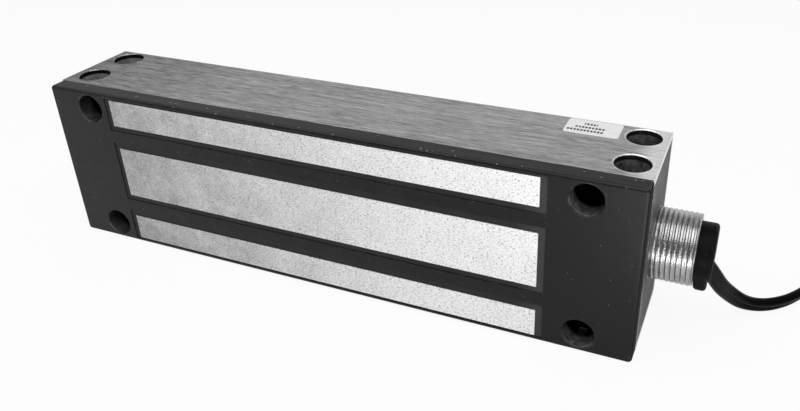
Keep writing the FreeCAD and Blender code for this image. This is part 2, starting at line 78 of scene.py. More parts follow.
def start_group(name, inputs, output):
    """A node group with number inputs and one number output."""
    tree = bpy.data.node_groups.new(name, "ShaderNodeTree")
    for socket, value in inputs.items():
        made = tree.interface.new_socket(socket, in_out="INPUT", socket_type="NodeSocketFloat")
        made.default_value = value
    tree.interface.new_socket(output, in_out="OUTPUT", socket_type="NodeSocketFloat")
    given = tree.nodes.new("NodeGroupInput").outputs
    result = tree.nodes.new("NodeGroupOutput").inputs
    return tree, given, result[output]


def math_of(tree, operation, *values):
    """The result of a Math node on these values."""
    inputs = dict(enumerate(values))
    return add(tree, "Math", inputs, operation=operation).outputs[0]


def ranged(tree, value, low, high, to_low=0.0, to_high=1.0):
    """The value carried from one range to another, and held inside it."""
    ends = {"From Min": low, "From Max": high, "To Min": to_low, "To Max": to_high}
    return add(tree, "MapRange", {"Value": value, **ends}).outputs[0]


def place_of(tree):
    """The shaded place in the part's own frame, as x, y and z."""
    place = add(tree, "TexCoord").outputs["Object"]
    return add(tree, "SeparateXYZ", {"Vector": place}).outputs


def new_material(name, **plain):
    """A material with one Principled shader; plain holds its constant values."""
    material = bpy.data.materials.new(name)
    material.use_nodes = True
    tree = material.node_tree
    tree.nodes.clear()
    inputs = {key.replace("_", " "): value for key, value in plain.items()}
    shader = add(tree, "BsdfPrincipled", inputs)
    add(tree, "OutputMaterial", {"Surface": shader.outputs[0]})
    return material, tree, shader


def layered(tree, base, *parts):
    """A tone: the base plus each value's weight times how far the value is from its middle."""
    tone = base
    for value, weight, middle in parts:
        shifted = math_of(tree, "SUBTRACT", value, middle)
        tone = math_of(tree, "MULTIPLY_ADD", shifted, weight, tone)
    return tone


def effect(tree, group, **values):
    """The output of a shared effect, given its own values."""
    return add(tree, "Group", values, node_tree=group).outputs[0]


def rough_relief(tree, shader, height, strength, depth_mm):
    """A bump of this depth under the shader."""
    bump = add(tree, "Bump", {"Height": height, "Strength": strength, "Distance": depth_mm * MM})
    put(tree, shader.inputs["Normal"], bump.outputs[0])


def dress(material, *nodes):
    """Gives the material to every slot of these nodes."""
    for name in nodes:
        for slot in frame["nodes"][name].material_slots:
            slot.material = material


# Cloudy tone, as on any surface that has been handled. Size is in millimetres.
mottle, given, result = start_group("mottle", {"Size": 8.0}, "Value")
place = add(mottle, "TexCoord").outputs["Object"]
scale = math_of(mottle, "DIVIDE", 1 / MM, given["Size"])
noise = add(mottle, "TexNoise", {"Vector": place, "Scale": scale, "Detail": 4.0, "Roughness": 0.6})
put(mottle, result, ranged(mottle, noise.outputs["Fac"], 0.32, 0.68))

# Lines that run along the lock. Width and Length are in millimetres.
streaks, given, result = start_group("streaks", {"Width": 0.3, "Length": 40.0}, "Value")
place = add(streaks, "TexCoord").outputs["Object"]
across = math_of(streaks, "DIVIDE", 1 / MM, given["Width"])
along = math_of(streaks, "DIVIDE", 1 / MM, given["Length"])
stretch = add(streaks, "CombineXYZ", {"X": along, "Y": across, "Z": across}).outputs[0]
drawn = add(streaks, "VectorMath", {0: place, 1: stretch}, operation="MULTIPLY").outputs[0]
noise = add(streaks, "TexNoise", {"Vector": drawn, "Scale": 1.0, "Detail": 2.0, "Roughness": 0.6})
put(streaks, result, ranged(streaks, noise.outputs["Fac"], 0.3, 0.7))

# Small round specks. Spacing is in millimetres, Size a share of it, Share how many cells have one.
specks, given, result = start_group("specks", {"Spacing": 3.0, "Size": 0.12, "Share": 0.3}, "Mask")
place = add(specks, "TexCoord").outputs["Object"]
scale = math_of(specks, "DIVIDE", 1 / MM, given["Spacing"])
cells = add(specks, "TexVoronoi", {"Vector": place, "Scale": scale, "Randomness": 1.0})
drawn = add(specks, "SeparateColor", {"Color": cells.outputs["Color"]}).outputs
kept = math_of(specks, "LESS_THAN", drawn[0], given["Share"])
reach = math_of(specks, "MULTIPLY", given["Size"], drawn[1])
dot = math_of(specks, "LESS_THAN", cells.outputs["Distance"], reach)
put(specks, result, math_of(specks, "MULTIPLY", kept, dot))

# Hairline scratches: thin level lines of a slow noise, broken up by another one.
hairlines, given, result = start_group(
    "hairlines", {"Spacing": 14.0, "Stretch": 3.0, "Width": 0.006, "Share": 0.35}, "Mask"
)
place = add(hairlines, "TexCoord").outputs["Object"]
scale = math_of(hairlines, "DIVIDE", 1 / MM, given["Spacing"])
sideways = given["Stretch"]
stretch = add(hairlines, "CombineXYZ", {"X": 1.0, "Y": sideways, "Z": sideways}).outputs[0]
drawn = add(hairlines, "VectorMath", {0: place, 1: stretch}, operation="MULTIPLY").outputs[0]
slow = add(hairlines, "TexNoise", {"Vector": drawn, "Scale": scale, "Detail": 1.0}).outputs["Fac"]
off = math_of(hairlines, "ABSOLUTE", math_of(hairlines, "SUBTRACT", slow, 0.5))
line = math_of(hairlines, "LESS_THAN", off, given["Width"])
often = math_of(hairlines, "MULTIPLY", scale, 2.5)
breaks = add(hairlines, "TexNoise", {"Vector": place, "Scale": often, "Detail": 2.0}).outputs["Fac"]
kept = ranged(hairlines, breaks, math_of(hairlines, "SUBTRACT", 0.75, given["Share"]), 0.75)
put(hairlines, result, math_of(hairlines, "MULTIPLY", line, kept))

# Edges made paler: partly the finish rubbed by handling, partly a painted highlight where
# an edge catches the light. Width is in millimetres.
rubbed_and_lit_edges, given, result = start_group("rubbed_and_lit_edges", {"Width": 0.6, "Even": 0.3}, "Mask")
radius = math_of(rubbed_and_lit_edges, "MULTIPLY", given["Width"], MM)
soft = add(rubbed_and_lit_edges, "Bevel", {"Radius": radius}, samples=6).outputs[0]
straight = add(rubbed_and_lit_edges, "NewGeometry").outputs["Normal"]
same = add(rubbed_and_lit_edges, "VectorMath", {0: soft, 1: straight}, operation="DOT_PRODUCT")
edge = ranged(rubbed_and_lit_edges, same.outputs["Value"], 0.995, 0.9)
place = add(rubbed_and_lit_edges, "TexCoord").outputs["Object"]
worn = add(rubbed_and_lit_edges, "TexNoise", {"Vector": place, "Scale": 0.4 / MM, "Detail": 3.0})
patchy = ranged(rubbed_and_lit_edges, worn.outputs["Fac"], 0.4, 0.6, given["Even"], 1.0)
put(rubbed_and_lit_edges, result, math_of(rubbed_and_lit_edges, "MULTIPLY", edge, patchy))

core_low, core_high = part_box("e_core")
core_steel, tree, shader = new_material("ground_core_steel", Metallic=1.0)
x, _, z = place_of(tree)
# Share of the way to the freshly ground end; besides the grind it lifts the colour steeply towards
# that end, a painted highlight.
ground_and_sheen = ranged(tree, x, core_low.x, core_high.x * 0.6)
# Painted light: the faces are made a little lighter towards the top.
height = ranged(tree, z, core_low.z, core_high.z)
dull = math_of(tree, "SUBTRACT", 1.0, ground_and_sheen)
cloud = effect(tree, mottle, Size=13.0)
patch = effect(tree, mottle, Size=4.0)
grain = effect(tree, mottle, Size=0.55)
marks = effect(tree, streaks, Width=0.28, Length=1.1)
marks = ranged(tree, marks, 0.56, 1.0)
marks = math_of(tree, "MULTIPLY", marks, ranged(tree, ground_and_sheen, 0.0, 1.0, 0.5, 1.5))
scratches = effect(tree, hairlines, Spacing=16.0, Width=0.006, Share=0.4)
rim = effect(tree, rubbed_and_lit_edges, Width=0.3, Even=0.5)
uneven = layered(tree, 0.0, (cloud, 0.17, 0.5), (patch, 0.09, 0.5))
tone = layered(tree, 0.41, (ground_and_sheen, 0.52, 0.0), (height, 0.07, 0.5), (grain, 0.28, 0.5))
tone = math_of(tree, "MULTIPLY_ADD", uneven, math_of(tree, "ADD", dull, 0.25), tone)
tone = layered(tree, tone, (marks, -0.52, 0.1), (scratches, 0.1, 0.0), (rim, 0.16, 0.0))
put(tree, shader.inputs["Base Color"], tone)
put(tree, shader.inputs["Roughness"], layered(tree, 0.46, (grain, 0.12, 0.5), (cloud, 0.06, 0.5)))
rough_relief(tree, shader, layered(tree, 0.5, (grain, 0.6, 0.5), (marks, -0.5, 0.0)), 0.4, 0.04)
dress(core_steel, "e_core")


# What holds the sheets together
# Two mild steel bars lie across the back iron at the ends of the stack, and four long
# rivets with domed heads clamp bars and sheets. All are bright zinc plated.


def handled_material(name, first, second, size, roughness, bump_mm, **plain):
    """A material that wanders between two colours, with a fine uneven surface."""
    material, tree, shader = new_material(name, **plain)
    cloud = effect(tree, mottle, Size=size)
    fine = effect(tree, mottle, Size=size / 8)
    colour = add(tree, "Mix", data_type="RGBA")
    put(tree, colour.inputs[0], layered(tree, 0.5, (cloud, 0.7, 0.5), (fine, 0.3, 0.5)))
    put(tree, colour.inputs[6], (*first, 1.0))
    put(tree, colour.inputs[7], (*second, 1.0))
    put(tree, shader.inputs["Base Color"], colour.outputs[2])
    put(tree, shader.inputs["Roughness"], layered(tree, roughness, (fine, 0.12, 0.5)))
    rough_relief(tree, shader, fine, 0.4, bump_mm)
    return material


zinc_plated = handled_material(
    "zinc_plated_steel", (0.42, 0.43, 0.45), (0.56, 0.56, 0.55), 5.0, 0.34, 0.02, Metallic=1.0
)
dress(zinc_plated, "core_clamp_left", "core_clamp_right", "core_rivets")


# The coil
# A moulded nylon bobbin slides over the centre leg and carries enamelled copper wire in
# neat layers, wrapped in polyester tape. Two insulated leads run to the circuit board.
bobbin_nylon = handled_material(
    "bobbin_nylon", (0.72, 0.69, 0.6), (0.8, 0.78, 0.7), 6.0, 0.45, 0.02
)
dress(bobbin_nylon, "coil_bobbin")

wire_pitch = 0.45 * MM
enamelled_copper, tree, shader = new_material("enamelled_copper_wire", Metallic=1.0)
y = place_of(tree)[1]
turns = math_of(tree, "MULTIPLY", y, 2 * math.pi / wire_pitch)
wires = ranged(tree, math_of(tree, "SINE", turns), -1.0, 1.0)
cloud = effect(tree, mottle, Size=7.0)
# Painted shade: the colour darkens between the turns of wire.
colour = add(tree, "Mix", data_type="RGBA")
put(tree, colour.inputs[0], layered(tree, 0.5, (wires, 0.5, 0.5), (cloud, 0.4, 0.5)))
put(tree, colour.inputs[6], (0.2, 0.045, 0.014, 1.0))
put(tree, colour.inputs[7], (0.62, 0.22, 0.09, 1.0))
put(tree, shader.inputs["Base Color"], colour.outputs[2])
put(tree, shader.inputs["Roughness"], layered(tree, 0.3, (cloud, 0.1, 0.5)))
rough_relief(tree, shader, wires, 0.8, 0.15)
dress(enamelled_copper, "coil_winding")

polyester_tape = handled_material(
    "polyester_tape", (0.55, 0.38, 0.05), (0.66, 0.5, 0.1), 9.0, 0.3, 0.03
)
dress(polyester_tape, "coil_tape")

lead_insulation = handled_material(
    "lead_insulation", (0.02, 0.02, 0.022), (0.035, 0.035, 0.036), 3.0, 0.35, 0.01
)
dress(lead_insulation, "coil_leads", "inner_lead")


# The circuit board
# A small glass-fibre board on a ledge behind the coil, held by two screws. A varistor
# and two suppression diodes soak up the coil's kick when the lock is switched off.
track_pitch = 3.2 * MM
board_green = (0.008, 0.05, 0.018, 1.0)
paler_green = (0.01, 0.065, 0.024, 1.0)
track_green = (0.03, 0.13, 0.05, 1.0)
solder_mask, tree, shader = new_material("solder_mask", Roughness=0.3)
place = add(tree, "TexCoord").outputs["Object"]
tracks = add(
    tree, "TexBrick",
    {"Vector": place, "Scale": 1 / track_pitch, "Mortar Size": 0.12,
     "Color1": board_green, "Color2": paler_green, "Mortar": track_green},
)
put(tree, shader.inputs["Base Color"], tracks.outputs["Color"])
rough_relief(tree, shader, tracks.outputs["Fac"], 0.4, 0.05)
dress(solder_mask, "circuit_board")

varistor_coat = handled_material(
    "varistor_coat", (0.02, 0.07, 0.22), (0.03, 0.1, 0.3), 3.0, 0.4, 0.03
)
dress(varistor_coat, "varistor")

diode_body = handled_material(
    "diode_body", (0.015, 0.015, 0.015), (0.03, 0.03, 0.03), 2.0, 0.45, 0.01
)
dress(diode_body, "suppression_diodes")
dress(zinc_plated, "board_screws")


# The housing channel
# One length of stainless sheet, folded into a channel: top, back and bottom. It is
# brushed lengthwise and darker than polished steel. Its colour climbs towards the nipple's
# end and peaks in a strip right at that end, a painted highlight for light from the right.
# The chamfered rims of the right-hand drilled holes carry a painted highlight too, and the
# walls inside the holes a painted shade.


def bolt_rows(name):
    """Middle and half spacings of a pattern of four bolts, from the part's record."""
    for mount in frame["record"]["mounts"]:
        if mount["name"] == name:
            dims = mount["dims"]
            half_along = dims["spacing_x_mm"] / 2 * MM
            half_across = dims["spacing_y_mm"] / 2 * MM
            return Vector(mount["pos_m"]), half_along, half_across


def from_bolt(tree, along, half_along, across, middle, half_across):
    """Distance from the nearest of four bolt axes, in millimetres."""
    off_along = math_of(tree, "SUBTRACT", math_of(tree, "ABSOLUTE", along), half_along)
    off_across = math_of(tree, "ABSOLUTE", math_of(tree, "SUBTRACT", across, middle))
    off_across = math_of(tree, "SUBTRACT", off_across, half_across)
    along_square = math_of(tree, "MULTIPLY", off_along, off_along)
    across_square = math_of(tree, "MULTIPLY", off_across, off_across)
    squares = math_of(tree, "ADD", along_square, across_square)
    return math_of(tree, "DIVIDE", math_of(tree, "SQRT", squares), MM)


channel_low, channel_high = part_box("housing_channel")
side_middle, side_along, side_across = bolt_rows("base_bolts")
side_recess_mm = 6.4
ring_width_mm = 0.75
hole_margin_mm = 0.1
end_highlight_length = 11.0 * MM
brushed_steel, tree, shader = new_material("brushed_channel_steel", Metallic=1.0)
x, y, _ = place_of(tree)
# Painted light: the colour climbs from the left end towards the right.
right_light_share = ranged(tree, x, channel_low.x, channel_low.x * 0.3)
# Painted highlight: a bright strip at the right end.
end_highlight = ranged(tree, x, channel_high.x - end_highlight_length, channel_high.x - end_highlight_length / 3)
broad = effect(tree, streaks, Width=2.2, Length=60.0)
middle = effect(tree, streaks, Width=0.6, Length=18.0)
fine = effect(tree, streaks, Width=0.3, Length=6.0)
grain = effect(tree, mottle, Size=0.8)
cloud = effect(tree, mottle, Size=30.0)
rim = effect(tree, rubbed_and_lit_edges, Width=0.4, Even=0.6)
from_hole = from_bolt(tree, x, side_along, y, side_middle.y, side_across)
# Painted highlight: a pale ring on the chamfer round each right-hand hole.
bright_side = math_of(tree, "GREATER_THAN", x, 0.0)
ring = math_of(tree, "LESS_THAN", from_hole, side_recess_mm + ring_width_mm)
ring = math_of(tree, "MULTIPLY", ring, bright_side)
tone = layered(
    tree, 0.36,
    (right_light_share, 0.19, 0.5), (end_highlight, 0.42, 0.0), (broad, 0.16, 0.5), (middle, 0.34, 0.5),
    (fine, 0.42, 0.5), (grain, 0.12, 0.5), (cloud, 0.08, 0.5), (rim, 0.2, 0.0), (ring, 0.22, 0.0),
)
# Painted shade: the walls inside the holes are darkened almost to black.
inside_hole = math_of(tree, "LESS_THAN", from_hole, side_recess_mm + hole_margin_mm)
tone = math_of(tree, "MULTIPLY", tone, ranged(tree, inside_hole, 0.0, 1.0, 1.0, 0.08))
put(tree, shader.inputs["Base Color"], tone)
put(tree, shader.inputs["Roughness"], layered(tree, 0.42, (middle, 0.16, 0.5), (cloud, 0.06, 0.5)))
relief = layered(tree, 0.5, (middle, 0.4, 0.5), (fine, 0.5, 0.5), (broad, 0.25, 0.5))
rough_relief(tree, shader, relief, 0.5, 0.05)
dress(brushed_steel, "housing_channel")


# The end plates
# Plain pieces of the same sheet, set into the channel's ends and spot welded. Their
# finish is duller than the channel's and scuffed. A bright streak low at the front is a
# painted highlight, standing for a reflection there.
highlight_width = 5.0 * MM
highlight_top = 35.0 * MM
highlight_full = 20.0 * MM
plate_steel, tree, shader = new_material(
    "end_plate_steel", Metallic=1.0, Specular_Tint=(0.35, 0.35, 0.35, 1.0)
)
_, y, z = place_of(tree)
cloud = effect(tree, mottle, Size=12.0)
fine = effect(tree, mottle, Size=1.4)
scuffs = effect(tree, hairlines, Spacing=9.0, Stretch=1.0, Width=0.012, Share=0.45)
rim = effect(tree, rubbed_and_lit_edges, Width=0.4, Even=0.5)
# Painted highlight: a bright streak low along the front edge, fading upwards.
low_front_highlight = ranged(tree, y, channel_low.y + highlight_width, channel_low.y)
low_front_highlight = math_of(tree, "MULTIPLY", low_front_highlight, ranged(tree, z, highlight_top, highlight_full))
tone = layered(
    tree, 0.25,
    (cloud, 0.12, 0.5), (fine, 0.08, 0.5), (scuffs, 0.14, 0.0), (rim, 0.12, 0.0),
    (low_front_highlight, 0.22, 0.0),
)
put(tree, shader.inputs["Base Color"], tone)
put(tree, shader.inputs["Roughness"], layered(tree, 0.46, (fine, 0.12, 0.5)))
rough_relief(tree, shader, fine, 0.4, 0.03)
dress(plate_steel, "end_plate_left", "end_plate_right")


# The mounting blocks
# A block of black glass-filled plastic in each end takes the bolts. Only its counterbores
# show, through the holes of the channel, where they are dusty, and of the front frame.
bore_margin_mm = 0.2
block_plastic, tree, shader = new_material("block_plastic", Specular_IOR_Level=0.04)
x, y, _ = place_of(tree)
from_hole = from_bolt(tree, x, side_along, y, side_middle.y, side_across)
in_side_bore = math_of(tree, "LESS_THAN", from_hole, side_recess_mm + bore_margin_mm)
left_side = math_of(tree, "LESS_THAN", x, 0.0)
dust = effect(tree, mottle, Size=1.7)
cloud = effect(tree, mottle, Size=5.0)
crumbs = effect(tree, specks, Spacing=1.1, Size=0.35, Share=0.3)
tone = layered(
    tree, 0.1,
    (left_side, 0.12, 0.0), (dust, 0.1, 0.5), (cloud, 0.09, 0.5), (crumbs, 0.12, 0.0),
)
# Painted shade: away from the side counterbores, in the deep front bores, the block is made almost
# black.
tone = math_of(tree, "MULTIPLY", tone, ranged(tree, in_side_bore, 0.0, 1.0, 0.015, 1.0))
put(tree, shader.inputs["Base Color"], tone)
put(tree, shader.inputs["Roughness"], layered(tree, 0.7, (dust, 0.2, 0.5)))
rough_relief(tree, shader, dust, 0.5, 0.1)
dress(block_plastic, "mounting_block_left", "mounting_block_right")


# The front frame
# Moulded in black plastic, seven millimetres deep, with a window for each pole and a
# counterbore at each corner. It is satin, with specks and light scuffs. Its edges are paler,
# partly rubbed and partly painted highlight, and it is a little paler towards its left end as
# a painted sheen. The counterbores' rims are worn pale. Their lower walls carry painted
# light over a mottle, pale near the mouth and fading deeper in, and the rest of each
# counterbore is darkened as painted shade. The top band is lifted paler as painted light
# from above, with fine lengthwise lines.
frame_low, frame_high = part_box("front_frame")
front_middle, front_along, front_across = bolt_rows("back_bolts")
front_recess_mm = 6.0
ring_start_mm = 1.0
ring_full_mm = 0.2
wall_depth = 7.0 * MM
wall_fade = 1.5 * MM
lit_wall_top = 3.0 * MM
lit_wall_full = -4.0 * MM
left_wall_light = 0.35
end_skin = 0.4 * MM
top_skin = 0.5 * MM
black_moulding, tree, shader = new_material("black_moulding", Specular_IOR_Level=0.27)
x, y, z = place_of(tree)
# Painted sheen: the frame is a little paler towards its left end.
left_sheen_share = ranged(tree, x, frame_high.x, frame_low.x)
cloud = effect(tree, mottle, Size=18.0)
fine = effect(tree, mottle, Size=0.8)
drag = effect(tree, streaks, Width=0.45, Length=50.0)
dots = effect(tree, specks, Spacing=2.2, Size=0.27, Share=0.4)
scuffs = effect(tree, hairlines, Spacing=9.0, Stretch=2.6, Width=0.004, Share=0.3)
rim = effect(tree, rubbed_and_lit_edges, Width=0.5, Even=0.15)
from_hole = from_bolt(tree, x, front_along, z, front_middle.z, front_across)
ring = ranged(tree, from_hole, front_recess_mm + ring_start_mm, front_recess_mm + ring_full_mm)
ring = math_of(tree, "MULTIPLY", ring, ranged(tree, effect(tree, mottle, Size=5.0), 0.3, 0.9))
in_hole = math_of(tree, "LESS_THAN", from_hole, front_recess_mm + hole_margin_mm)
# Painted light on each counterbore's lower wall: pale near the mouth, fading deeper in and upwards,
# stronger towards the right, over a mottle.
up = math_of(tree, "SUBTRACT", z, front_middle.z)
in_lower_half = math_of(tree, "LESS_THAN", up, 0.0)
to_axis = ranged(tree, in_lower_half, 0.0, 1.0, -front_across, front_across)
above_axis = math_of(tree, "ADD", up, to_axis)
lit_lower_wall = math_of(tree, "MULTIPLY", in_hole, ranged(tree, above_axis, lit_wall_top, lit_wall_full))
more_to_right = ranged(tree, x, -front_along, front_along, left_wall_light, 1.0)
lit_lower_wall = math_of(tree, "MULTIPLY", lit_lower_wall, more_to_right)
wall_end = frame_low.y + wall_depth
lit_lower_wall = math_of(tree, "MULTIPLY", lit_lower_wall, ranged(tree, y, wall_end, wall_end - wall_fade))
ends = math_of(tree, "GREATER_THAN", math_of(tree, "ABSOLUTE", x), frame_high.x - end_skin)
wall_mottle = effect(tree, mottle, Size=2.2)
on_top = math_of(tree, "GREATER_THAN", z, frame_high.z - top_skin)
# Lengthwise lines on the top band, shifted so that the band is also lifted paler overall: painted
# light from above.
top_streaks_and_light = math_of(tree, "MULTIPLY", on_top, drag)
tone = layered(
    tree, 0.0085,
    (left_sheen_share, 0.013, 0.5), (cloud, 0.008, 0.5), (fine, 0.012, 0.5), (drag, 0.006, 0.5),
    (top_streaks_and_light, 0.02, 0.2), (dots, 0.11, 0.0), (scuffs, 0.02, 0.0), (rim, 0.02, 0.0),
    (ring, 0.055, 0.0),
)
# Painted shade: inside the counterbores the moulding is darkened.
tone = math_of(tree, "MULTIPLY", tone, ranged(tree, in_hole, 0.0, 1.0, 1.0, 0.3))
# The painted light on the lower walls is added here, with the mottle.
tone = math_of(tree, "MULTIPLY_ADD", lit_lower_wall, ranged(tree, wall_mottle, 0.0, 1.0, 0.02, 0.13), tone)
put(tree, shader.inputs["Base Color"], math_of(tree, "MAXIMUM", tone, 0.002))
rough = layered(tree, 0.45, (cloud, 0.1, 0.5), (fine, 0.1, 0.5), (ends, 0.5, 0.0))
put(tree, shader.inputs["Roughness"], rough)
relief = layered(tree, 0.5, (fine, 0.5, 0.5), (drag, 0.25, 0.5), (scuffs, -0.3, 0.0))
rough_relief(tree, shader, relief, 0.3, 0.03)
dress(black_moulding, "front_frame")


# The potting resin
# Poured in while the lock lies on its back, it fills the channel round core and coil and
# stands in the windows, a hair below the frame's face and paler past the core's end.
paler_end = 8.0 * MM
potting_resin, tree, shader = new_material("potting_resin", Specular_IOR_Level=0.3)
x = place_of(tree)[0]
near_end = ranged(tree, x, core_high.x - paler_end, core_high.x)
cloud = effect(tree, mottle, Size=10.0)
fine = effect(tree, mottle, Size=0.6)
tone = layered(tree, 0.009, (near_end, 0.02, 0.0), (cloud, 0.006, 0.5), (fine, 0.008, 0.5))
put(tree, shader.inputs["Base Color"], tone)
put(tree, shader.inputs["Roughness"], layered(tree, 0.5, (fine, 0.12, 0.5)))
rough_relief(tree, shader, fine, 0.4, 0.04)
dress(potting_resin, "potting_resin")


# The conduit nipple
# Turned from brass bar and nickel plated. A hexagonal head inside the end plate keeps it
# from turning on a gasket; outside it has a conduit thread, cut close up to the plate.


def mesh_piece(name, points, faces, material, sharp_degrees=35.0):
    """A mesh object on the body, smooth apart from its sharp edges."""
    mesh = bpy.data.meshes.new(name)
    mesh.from_pydata(points, [], faces)
    mesh.validate()
    edit = bmesh.new()
    edit.from_mesh(mesh)
    bmesh.ops.recalc_face_normals(edit, faces=edit.faces)
    for edge in edit.edges:
        edge.smooth = edge.calc_face_angle(0.0) < math.radians(sharp_degrees)
    for face in edit.faces:
        face.smooth = True
    edit.to_mesh(mesh)
    edit.free()
    mesh.materials.append(material)
    made = bpy.data.objects.new(name, mesh)
    bpy.context.scene.collection.objects.link(made)
    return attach(made, "root")


def ring_faces(rings, sides, closed_along=False):
    """Quads between rings of points, each ring closed on itself."""
    faces = []
    steps = rings if closed_along else rings - 1
    for i in range(steps):
        here, there = i * sides, (i + 1) % rings * sides
        for j in range(sides):
            k = (j + 1) % sides
            faces.append((here + j, here + k, there + k, there + j))
    return faces


threads_per_inch = 14
thread_pitch = 25.4 / threads_per_inch * MM
thread_depth = 0.25 * MM
crest_share = 0.34
root_share = 0.26
run_in_turns = 0.5
nipple_wall = 2.45 * MM
end_chamfer = 0.4 * MM
relief_width = 0.5 * MM
hexagon_sides = 6
sides_round = 120
steps_per_turn = 22
nipple_low, nipple_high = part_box("conduit_nipple")
head_low, head_high = nipple_low.x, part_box("nipple_gasket")[0].x
half_flats = min(nipple_high.y - nipple_low.y, nipple_high.z - nipple_low.z) / 2
axis_y = (nipple_low.y + nipple_high.y) / 2
axis_z = (nipple_low.z + nipple_high.z) / 2
plate_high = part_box("end_plate_right")[1].x
crest = 13.35 * MM
bore = crest - nipple_wall
thread_start = plate_high + relief_width

plated_brass, tree, shader = new_material("nickel_plated_brass", Metallic=1.0)
_, y, z = place_of(tree)
cloud = effect(tree, mottle, Size=3.0)
fine = effect(tree, mottle, Size=0.5)
marks = effect(tree, hairlines, Spacing=5.0, Stretch=1.0, Width=0.02, Share=0.4)
off_y = math_of(tree, "SUBTRACT", y, axis_y)
off_z = math_of(tree, "SUBTRACT", z, axis_z)
off_axis = add(tree, "CombineXYZ", {"Y": off_y, "Z": off_z}).outputs[0]
from_axis = add(tree, "VectorMath", {0: off_axis}, operation="LENGTH").outputs["Value"]
in_groove = ranged(tree, from_axis, crest - thread_depth * 0.4, crest - thread_depth * 0.9)
tone = layered(tree, 0.42, (cloud, 0.14, 0.5), (fine, 0.14, 0.5), (marks, -0.12, 0.0))
# Painted shade: the thread's grooves are darkened.
tone = math_of(tree, "MULTIPLY", tone, ranged(tree, in_groove, 0.0, 1.0, 1.0, 0.85))
put(tree, shader.inputs["Base Color"], tone)
put(tree, shader.inputs["Roughness"], layered(tree, 0.16, (fine, 0.12, 0.5), (cloud, 0.06, 0.5)))
rough_relief(tree, shader, fine, 0.5, 0.06)


def hexagon_radius(angle):
    """Distance from the axis to the hexagonal head's side, with its corners along Y."""
    step = 2 * math.pi / hexagon_sides
    return half_flats / math.cos(angle % step - step / 2)


def thread_height(turn):
    """How far the surface stands above the thread's root, for a place in turns along it."""
    wave = abs((turn % 1.0) * 2 - 1)
    rise = (wave - root_share) / (1 - crest_share - root_share)
    return thread_depth * min(max(rise, 0.0), 1.0)


def threaded_radius(x, angle):
    """Distance from the axis to the thread's surface."""
    root = crest - thread_depth
    run_in = min(max((x - thread_start) / thread_pitch / run_in_turns, 0.0), 1.0)
    turn = (x - plate_high) / thread_pitch - angle / (2 * math.pi)
    radius = root + thread_height(turn) * run_in
    return min(radius, crest - max(x - (nipple_high.x - end_chamfer), 0.0))


stations = [(head_low, lambda a: bore), (head_low, hexagon_radius), (head_high, hexagon_radius)]
stations += [(head_high, lambda a: crest), (plate_high, lambda a: crest)]
stations.append((plate_high, lambda a: crest - thread_depth))
thread_steps = round((nipple_high.x - thread_start) / thread_pitch * steps_per_turn)
for i in range(thread_steps + 1):
    x = thread_start + (nipple_high.x - thread_start) * i / thread_steps
    stations.append((x, lambda a, x=x: threaded_radius(x, a)))
stations.append((nipple_high.x, lambda a: bore))
points = []
for x, radius_at in stations:
    for j in range(sides_round):
        angle = 2 * math.pi * j / sides_round
        radius = radius_at(angle)
        points.append((x, axis_y + radius * math.cos(angle), axis_z + radius * math.sin(angle)))
faces = ring_faces(len(stations), sides_round, closed_along=True)
threaded_nipple = mesh_piece("threaded_nipple", points, faces, plated_brass, sharp_degrees=25.0)
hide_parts("conduit_nipple")


# The gasket and the bung
# The gasket is a flat rubber ring behind the end plate. The bung is moulded in black
# rubber: it plugs the nipple and laps over its end, with a slanted hole for the lead.
black_rubber, tree, shader = new_material("black_rubber", Specular_IOR_Level=0.05)
cloud = effect(tree, mottle, Size=4.0)
fine = effect(tree, mottle, Size=0.5)
bits = effect(tree, specks, Spacing=1.5, Size=0.2, Share=0.25)
tone = layered(tree, 0.004, (cloud, 0.003, 0.5), (fine, 0.003, 0.5), (bits, 0.01, 0.0))
put(tree, shader.inputs["Base Color"], tone)
put(tree, shader.inputs["Roughness"], layered(tree, 0.45, (fine, 0.16, 0.5)))
rough_relief(tree, shader, fine, 0.4, 0.05)
dress(black_rubber, "nipple_gasket", "cable_bung")


# The lead
# A limp twin lead: two stranded conductors side by side in one black sheath with a groove
# along each flat side. It slants out of the bung, drops to the floor and twists as it lies
# there. The rest of its half metre is wound in a neat coil and tied.
lead_sheath, tree, shader = new_material("glossy_lead_sheath", Specular_IOR_Level=0.05)
cloud = effect(tree, mottle, Size=5.0)
fine = effect(tree, mottle, Size=0.7)
put(tree, shader.inputs["Base Color"], layered(tree, 0.002, (cloud, 0.002, 0.5)))
put(tree, shader.inputs["Roughness"], layered(tree, 0.26, (fine, 0.08, 0.5), (cloud, 0.06, 0.5)))
rough_relief(tree, shader, cloud, 0.2, 0.1)

lead_width = 6.4 * MM
core_radius = 1.8 * MM
core_offset = lead_width / 2 - core_radius
groove_share = 0.985
arc_steps = 14
# The route's points: distance from the nipple's end, then y and z, in millimetres.
lead_route = [
    (2.5, -2.0, 35.5),
    (6.4, 3.9, 26.8),
    (9.3, 8.3, 19.6),
    (13.2, 14.2, 12.4),
    (18.7, 19.6, 5.8),
    (26.1, 24.2, 3.2),
    (33.5, 29.8, 3.07),
    (39.4, 37.6, 3.07),
    (43.8, 45.8, 3.07),
    (50.2, 52.2, 3.12),
    (59.0, 54.9, 3.25),
    (68.5, 54.9, 3.25),
]
# How far the flat side is turned out of the level, by distance along the lead.
lead_twist = [(0.0, 75.0), (26.0, 80.0), (50.0, 68.0), (70.0, 63.0), (91.0, 60.0), (107.0, 90.0)]
coil_turns = 2
points_per_turn = 24
turn_spacing = 3.8 * MM
floor_height = 3.25 * MM
tie_lift = 0.75 * MM
tie_angle = math.radians(-60.0)
tie_spread = math.radians(26.0)
tail_length = 12.0 * MM
tail_turn = math.radians(50.0)
tail_twist = 40.0

